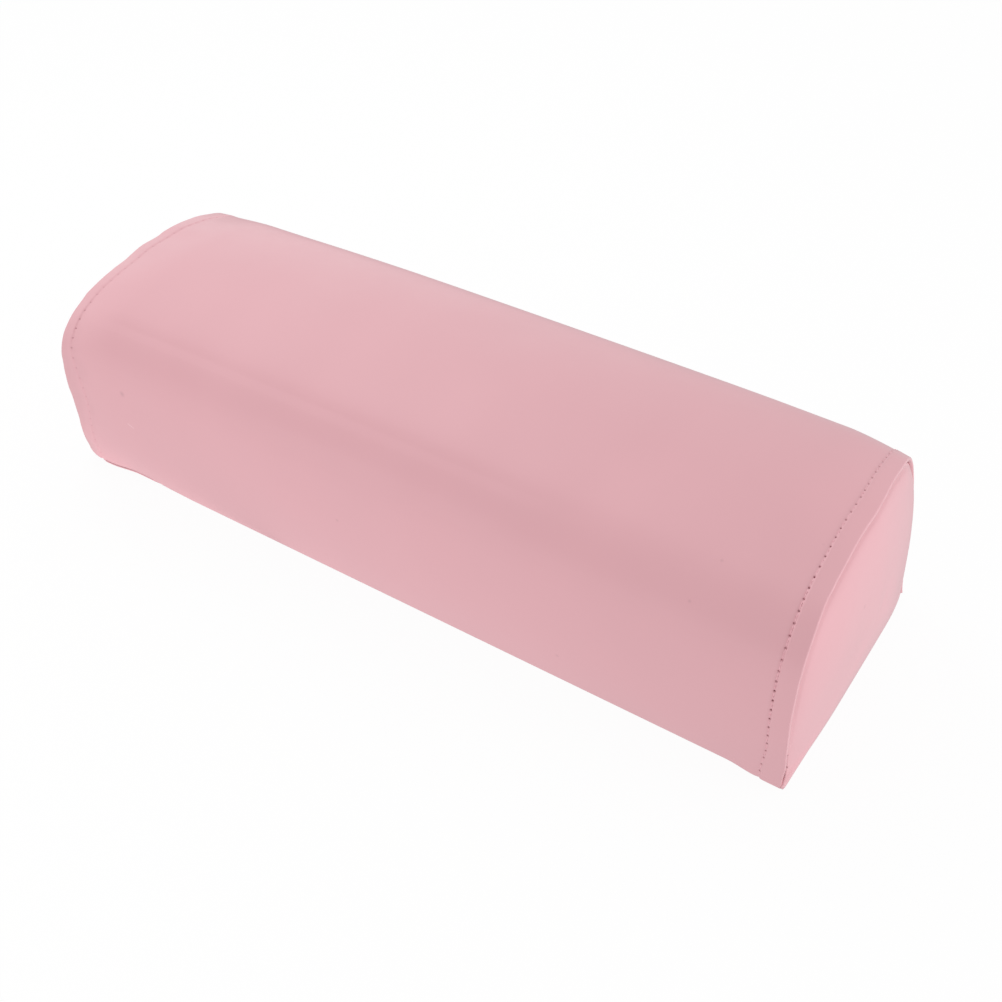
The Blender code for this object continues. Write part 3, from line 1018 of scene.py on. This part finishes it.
def stitch_tree(thread):
    """A tree that lays one bowed, two-ply stitch over each point of its mesh."""
    tree = bpy.data.node_groups.new("sewn stitches", "GeometryNodeTree")
    face = tree.interface
    face.new_socket("Stitch middles", in_out="INPUT", socket_type="NodeSocketGeometry")
    for label in ("Stitch length", "Thread radius", "Dip", "Rise"):
        face.new_socket(label, in_out="INPUT", socket_type="NodeSocketFloat")
    face.new_socket("Stitches", in_out="OUTPUT", socket_type="NodeSocketGeometry")
    source = node(tree, "NodeGroupInput").outputs
    half = node(tree, "ShaderNodeMath", {0: source["Stitch length"], 1: 0.5}, operation="MULTIPLY")
    back = node(tree, "ShaderNodeMath", {0: half.outputs[0], 1: -1.0}, operation="MULTIPLY")
    low = node(tree, "ShaderNodeMath", {0: source["Dip"], 1: -1.0}, operation="MULTIPLY")
    start = node(tree, "ShaderNodeCombineXYZ", {"X": back.outputs[0], "Z": low.outputs[0]})
    top = node(tree, "ShaderNodeCombineXYZ", {"Z": source["Rise"]})
    end = node(tree, "ShaderNodeCombineXYZ", {"X": half.outputs[0], "Z": low.outputs[0]})
    path = node(
        tree,
        "GeometryNodeCurveQuadraticBezier",
        {"Resolution": 10, "Start": start.outputs[0], "Middle": top.outputs[0], "End": end.outputs[0]},
    )
    along = node(tree, "GeometryNodeSplineParameter")
    twist = node(tree, "ShaderNodeMath", {0: along.outputs["Factor"], 1: 9.0}, operation="MULTIPLY")
    twisted = node(tree, "GeometryNodeSetCurveTilt", {"Curve": path.outputs[0], "Tilt": twist.outputs[0]})
    ring = node(
        tree,
        "GeometryNodeCurvePrimitiveCircle",
        {"Resolution": 8, "Radius": source["Thread radius"]},
        mode="RADIUS",
    )
    ply = node(tree, "GeometryNodeTransform", {"Geometry": ring.outputs[0], "Scale": (1.0, 0.68, 1.0)})
    strand = node(
        tree,
        "GeometryNodeCurveToMesh",
        {"Curve": twisted.outputs[0], "Profile Curve": ply.outputs[0], "Fill Caps": True},
    )
    row = node(tree, "GeometryNodeInputNamedAttribute", {"Name": "along"}, data_type="FLOAT_VECTOR")
    out = node(tree, "GeometryNodeInputNamedAttribute", {"Name": "outward"}, data_type="FLOAT_VECTOR")
    turned = node(tree, "FunctionNodeAlignRotationToVector", {"Vector": row.outputs["Attribute"]}, axis="X")
    upright = node(
        tree,
        "FunctionNodeAlignRotationToVector",
        {"Rotation": turned.outputs[0], "Vector": out.outputs["Attribute"]},
        axis="Z",
        pivot_axis="X",
    )
    vary = node(
        tree,
        "FunctionNodeRandomValue",
        {"Min": (0.95, 0.9, 0.85), "Max": (1.03, 1.1, 1.15), "Seed": 7},
        data_type="FLOAT_VECTOR",
    )
    laid = node(
        tree,
        "GeometryNodeInstanceOnPoints",
        {
            "Points": source["Stitch middles"],
            "Instance": strand.outputs[0],
            "Rotation": upright.outputs[0],
            "Scale": vary.outputs[0],
        },
    )
    real = node(tree, "GeometryNodeRealizeInstances", {"Geometry": laid.outputs[0]})
    dressed = node(
        tree,
        "GeometryNodeSetMaterial",
        {"Geometry": real.outputs[0], "Material": thread},
    )
    node(tree, "NodeGroupOutput", {"Stitches": dressed.outputs[0]})
    return tree


def surface_spot(side, distance, lift=0.0):
    """The point on the cover over a stitch row, this far along the arch."""
    arch, normal = arch_at(distance)
    x = side * (HALF_LENGTH - row_inset(side, arch))
    swell = lip_wave(side, distance) * share_left(STITCH_INSET, WAVE_REACH) * SWELL_SHARE
    return on_cushion(arch, normal, x, swell - lift)


def sewn_row(name, side, tree, thread):
    """A row of stitches from foot to foot, as one plain mesh."""
    holes = surface_spot(side, PITCH * np.arange(STITCHES + 1))
    middles = PITCH * (np.arange(STITCHES) + 0.5)
    seat = surface_spot(side, middles, lift=-(RIGHT_THREAD_SEAT if side > 0 else LEFT_THREAD_SEAT))
    lifted = surface_spot(side, middles, lift=0.001)
    along = holes[1:] - holes[:-1]
    outward = lifted - seat
    mesh = bpy.data.meshes.new(name)
    mesh.from_pydata(seat.tolist(), [], [])
    for label, vectors in (("along", along), ("outward", outward)):
        layer = mesh.attributes.new(label, "FLOAT_VECTOR", "POINT")
        layer.data.foreach_set("vector", vectors.astype(np.float32).ravel())
    row = bpy.data.objects.new(name, mesh)
    bpy.context.scene.collection.objects.link(row)
    maker = row.modifiers.new("stitches", "NODES")
    maker.node_group = tree
    values = {
        "Stitch length": PITCH * STITCH_SHARE,
        "Thread radius": THREAD_RADIUS,
        "Dip": THREAD_DIP,
        "Rise": THREAD_RISE,
    }
    for item in tree.interface.items_tree:
        if item.name in values:
            maker[item.identifier] = values[item.name]
    graph = bpy.context.evaluated_depsgraph_get()
    sewn = bpy.data.meshes.new_from_object(row.evaluated_get(graph), depsgraph=graph)
    row.modifiers.clear()
    row.data = sewn
    sewn.shade_smooth()
    return row


# Floor, light and camera


def studio_floor():
    """A wide white sweep that the cushion stands on."""
    mesh = bpy.data.meshes.new("studio_floor")
    signs = ((-1, -1), (1, -1), (1, 1), (-1, 1))
    corners = [(a * FLOOR_HALF_WIDTH, b * FLOOR_HALF_WIDTH, FLOOR_HEIGHT) for a, b in signs]
    mesh.from_pydata(corners, [], [(0, 1, 2, 3)])
    floor = bpy.data.objects.new("studio_floor", mesh)
    bpy.context.scene.collection.objects.link(floor)
    material, tree, output = new_material("matt white paper", "#FFFFFF")
    path = node(tree, "ShaderNodeLightPath").outputs
    seen = node(tree, "ShaderNodeMath", {0: path["Is Camera Ray"], 1: SEEN_GLOW}, operation="MULTIPLY")
    paper = node(tree, "ShaderNodeBsdfDiffuse", {"Color": linear("#F4F4F4")})
    glow = node(tree, "ShaderNodeEmission", {"Color": WHITE})
    # Painted reflection: for the skin's glossy rays the paper glows, brightest behind the cushion and to
    # its right
    place = node(tree, "ShaderNodeTexCoord").outputs["Object"]
    backward = node(tree, "ShaderNodeVectorMath", {0: place, 1: (1.0, 1.0, 0.0)}, operation="DOT_PRODUCT")
    reflected_glow_level = node(
        tree,
        "ShaderNodeMapRange",
        {
            "Value": backward.outputs["Value"],
            "From Min": -0.15,
            "From Max": 0.30,
            "To Min": 0.4,
            "To Max": 0.58,
        },
    )
    reflected_glow = node(tree, "ShaderNodeEmission", {"Color": WHITE, "Strength": reflected_glow_level.outputs["Result"]})
    # Painted light: for the skin's diffuse rays the paper glows, most at the left and close in front of the
    # cushion
    axes = node(tree, "ShaderNodeSeparateXYZ", {0: place}).outputs
    to_left = node(
        tree,
        "ShaderNodeMapRange",
        {"Value": axes["X"], "From Min": 0.16, "From Max": -0.16},
    )
    close = node(
        tree,
        "ShaderNodeMapRange",
        {"Value": axes["Y"], "From Min": -0.15, "From Max": -0.06, "To Min": 0.20, "To Max": 0.50},
    )
    share = node(tree, "ShaderNodeMath", {0: to_left.outputs[0], 1: close.outputs[0]}, operation="MULTIPLY")
    bounce_glow_level = node(tree, "ShaderNodeMath", {0: share.outputs[0], 1: 0.955}, operation="ADD")
    bounce_glow = node(tree, "ShaderNodeEmission", {"Color": WHITE, "Strength": bounce_glow_level.outputs[0]})
    surface = paper
    layers = (
        (path["Is Diffuse Ray"], bounce_glow),
        (path["Is Glossy Ray"], reflected_glow),
        (seen.outputs[0], glow),
    )
    for share, layer in layers:
        surface = node(tree, "ShaderNodeMixShader", {0: share, 1: surface.outputs[0], 2: layer.outputs[0]})
    tree.links.new(surface.outputs[0], output.inputs["Surface"])
    mesh.materials.append(material)
    return floor


def studio_world():
    """A light tent: pure white where it is seen, and walls round a darker opening that light the skin."""
    world = bpy.data.worlds.new("studio")
    bpy.context.scene.world = world
    world.use_nodes = True
    tree = world.node_tree
    tree.nodes.clear()
    path = node(tree, "ShaderNodeLightPath").outputs
    straight = node(
        tree,
        "ShaderNodeMath",
        {0: path["Is Camera Ray"], 1: path["Is Transmission Ray"]},
        operation="ADD",
    )
    # The tent's opening, where the camera stands, gives and mirrors less light than its walls
    ray = node(tree, "ShaderNodeTexCoord").outputs["Generated"]
    facing = node(tree, "ShaderNodeVectorMath", {0: ray, 1: TENT_OPENING}, operation="DOT_PRODUCT")
    opening = node(
        tree,
        "ShaderNodeMapRange",
        {"Value": facing.outputs["Value"], "From Min": 0.0, "From Max": 0.65},
        interpolation_type="SMOOTHSTEP",
    )
    given = node(
        tree,
        "ShaderNodeMapRange",
        {"Value": opening.outputs["Result"], "To Min": 0.985, "To Max": 0.785},
    )
    # Its left wall shines more in the skin than its right one
    leftward = node(tree, "ShaderNodeVectorMath", {0: ray, 1: TENT_LEFT}, operation="DOT_PRODUCT")
    wall = node(
        tree,
        "ShaderNodeMapRange",
        {
            "Value": leftward.outputs["Value"],
            "From Min": 0.15,
            "From Max": 0.65,
            "To Min": 0.5,
            "To Max": 1.05,
        },
    )
    mirrored = node(
        tree,
        "ShaderNodeMapRange",
        {"Value": opening.outputs["Result"], "To Min": wall.outputs["Result"], "To Max": 0.0},
    )
    fill = node(tree, "ShaderNodeBackground", {"Color": WHITE, "Strength": given.outputs["Result"]})
    gloss = node(tree, "ShaderNodeBackground", {"Color": WHITE, "Strength": mirrored.outputs["Result"]})
    white = node(tree, "ShaderNodeBackground", {"Color": WHITE})
    surface = fill
    for share, layer in ((path["Is Glossy Ray"], gloss), (straight.outputs[0], white)):
        surface = node(tree, "ShaderNodeMixShader", {0: share, 1: surface.outputs[0], 2: layer.outputs[0]})
    output = node(tree, "ShaderNodeOutputWorld")
    tree.links.new(surface.outputs[0], output.inputs["Surface"])


def softbox(name, place, aim, size, power):
    """A soft lamp (width, height) at a place, aimed at a point, that the skin doesn't mirror."""
    lamp = bpy.data.lights.new(name, "AREA")
    lamp.shape = "RECTANGLE"
    lamp.size, lamp.size_y = size
    lamp.energy = power
    holder = bpy.data.objects.new(name, lamp)
    bpy.context.scene.collection.objects.link(holder)
    holder.visible_glossy = False
    holder.location = place
    holder.rotation_euler = (Vector(aim) - Vector(place)).to_track_quat("-Z", "Y").to_euler()
    return holder


def studio_camera():
    """The camera at the photograph's viewing angle, level, a little above and to the right."""
    level = math.cos(CAMERA_ELEVATION)
    back = Vector(
        (
            math.sin(CAMERA_AZIMUTH) * level,
            -math.cos(CAMERA_AZIMUTH) * level,
            math.sin(CAMERA_ELEVATION),
        )
    )
    right = Vector((math.cos(CAMERA_AZIMUTH), math.sin(CAMERA_AZIMUTH), 0.0))
    up = back.cross(right)
    lens = bpy.data.cameras.new("studio_camera")
    lens.sensor_width = 36.0
    lens.lens = CAMERA_LENS
    lens.clip_start = 0.01
    camera = bpy.data.objects.new("studio_camera", lens)
    bpy.context.scene.collection.objects.link(camera)
    turn = Matrix((right, up, back)).transposed()
    place = back * CAMERA_DISTANCE - right * CAMERA_ASIDE - up * CAMERA_BELOW
    camera.matrix_world = Matrix.LocRotScale(place, turn, None)
    bpy.context.scene.camera = camera


def build():
    """Makes, dresses and mounts every piece."""
    skin = leathercloth("calendered leathercloth, pink", "#DDA8AF", "#DFA9B0", WRAP_SPECKS)
    # The end panels' cloth is the wrap's pink painted a little lighter, standing in for the extra light on
    # the ends
    lightened_end_skin = leathercloth("calendered leathercloth, pink, painted lighter", "#E0ABB2", "#E1ADB4", END_SPECKS)
    thread = sewing_thread("spun polyester thread, pink")
    foam = cut_sponge("cut polyurethane sponge")
    pieces = [
        (top_cover(skin), "top_cover_panel", "wrap_leathercloth", 0.9),
        (end_panel("left_end", -1, lightened_end_skin), "left_end_panel", "end_leathercloth", 0.9),
        (end_panel("right_end", 1, lightened_end_skin), "right_end_panel", "end_leathercloth", 0.9),
        (base_sheet(skin), "base_panel", "base_leathercloth", None),
        (sponge_block(foam), "foam_core", "sponge", 0.95),
    ]
    tree = stitch_tree(thread)
    for label, side in (("left", -1), ("right", 1)):
        row = sewn_row(f"{label}_topstitching", side, tree, thread)
        pieces.append((row, f"{label}_topstitch_thread", "sewing_thread", None))
    for piece, cad_node, slot, fill in pieces:
        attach(piece, "root")
        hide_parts(cad_node)


def light():
    """Plain soft studio light: the tent, the white paper and three softboxes."""
    studio_world()
    studio_floor()
    for box in SOFTBOXES:
        softbox(*box)
    scene = bpy.context.scene
    scene.view_settings.view_transform = "Standard"


build()
light()
studio_camera()
